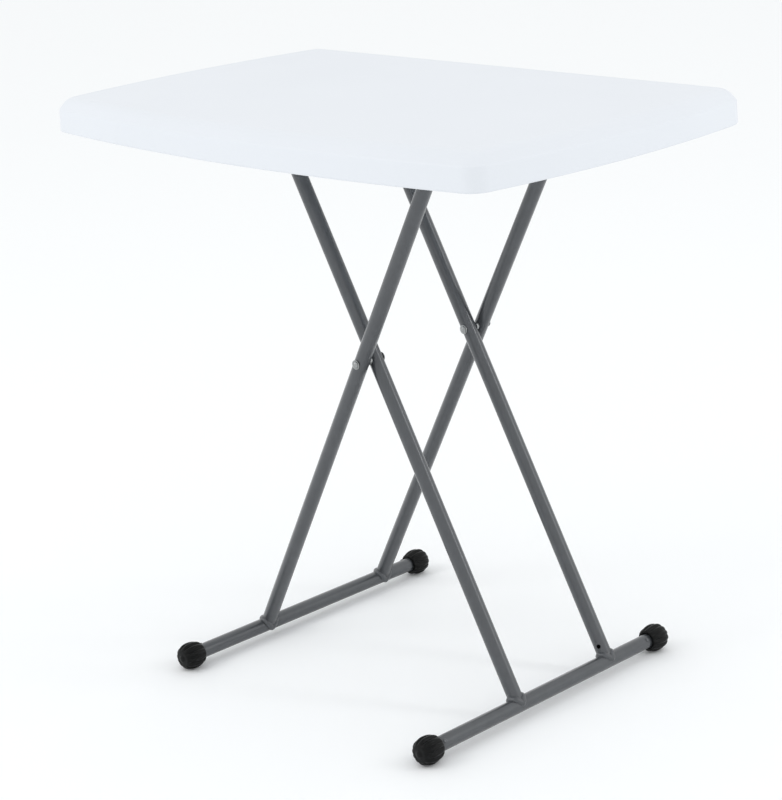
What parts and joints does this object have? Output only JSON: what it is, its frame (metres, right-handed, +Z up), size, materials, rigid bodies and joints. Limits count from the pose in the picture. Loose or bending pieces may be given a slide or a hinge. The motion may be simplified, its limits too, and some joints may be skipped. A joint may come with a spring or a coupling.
{
  "type": "folding tray table",
  "caption": "Small folding table: a white moulded tray top on two crossed tube frames that fold flat under it.",
  "frame": {"origin": "on the floor, under the middle of the whole table's box", "axes": "+Z up, x along the top's long edge, +Y towards the straight back edge, away from the bowed user's edge"},
  "size_m": [0.76, 0.4968, 0.747],
  "materials": {
    "white_plastic": "fine pebble grain, satin",
    "grey_powder_coat": "dark grey powder coat",
    "zinc": "zinc plated",
    "black_rubber": "ribbed, matt",
    "black_nylon": "moulded"
  },
  "bodies": {
    "top": {"blow_hole_plug": "white_plastic", "height_rack_far": "black_nylon", "height_rack_near": "black_nylon", "rack_screw_far_1": "zinc", "rack_screw_far_2": "zinc", "rack_screw_near_1": "zinc", "rack_screw_near_2": "zinc", "rail_screw_far_1": "zinc", "rail_screw_far_2": "zinc", "rail_screw_far_3": "zinc", "rail_screw_far_4": "zinc", "rail_screw_near_1": "zinc", "rail_screw_near_2": "zinc", "rail_screw_near_3": "zinc", "rail_screw_near_4": "zinc", "slide_rail_far": "zinc", "slide_rail_near": "zinc", "table_top": "white_plastic"},
    "inner_frame": {"cap_rivet_inner_far": "zinc", "cap_rivet_inner_near": "zinc", "foot_cap_inner_far": "black_rubber", "foot_cap_inner_near": "black_rubber", "inner_foot_bar": "grey_powder_coat", "inner_frame_tube": "grey_powder_coat"},
    "outer_frame": {"cap_rivet_outer_far": "zinc", "cap_rivet_outer_near": "zinc", "foot_cap_outer_far": "black_rubber", "foot_cap_outer_near": "black_rubber", "leg_plug_far": "black_nylon", "leg_plug_near": "black_nylon", "outer_foot_bar": "grey_powder_coat", "outer_leg_far": "grey_powder_coat", "outer_leg_near": "grey_powder_coat", "pivot_rivet_far": "zinc", "pivot_rivet_near": "zinc", "pivot_spacer_far": "zinc", "pivot_spacer_near": "zinc", "pivot_washer_inner_far": "zinc", "pivot_washer_inner_near": "zinc", "pivot_washer_outer_far": "zinc", "pivot_washer_outer_near": "zinc"},
    "slider": {"hinge_rod": "zinc", "rod_cap_far": "black_nylon", "rod_cap_near": "black_nylon", "slide_shoe_far": "black_nylon", "slide_shoe_near": "black_nylon"}
  },
  "joints": [
    {"name": "rod_slide", "type": "slide", "parent": "top", "child": "slider", "axis": [-1, 0, 0], "range_m": [0, 0.486]},
    {"name": "outer_frame_fold", "type": "hinge", "parent": "slider", "child": "outer_frame", "pos_m": [0.1517, 0.05527, 0.716], "axis": [0, -1, 0], "range_deg": [0, 114.4]},
    {"name": "scissor_close", "type": "hinge", "parent": "outer_frame", "child": "inner_frame", "pos_m": [-0.00841, 0.05527, 0.42177], "axis": [0, 1, 0], "range_deg": [0, 52.2]}
  ],
  "couplings": [
    {"joint": "rod_slide", "follows": "outer_frame_fold", "m_per_rad": 0.24341},
    {"joint": "scissor_close", "follows": "outer_frame_fold", "ratio": 0.45629}
  ]
}
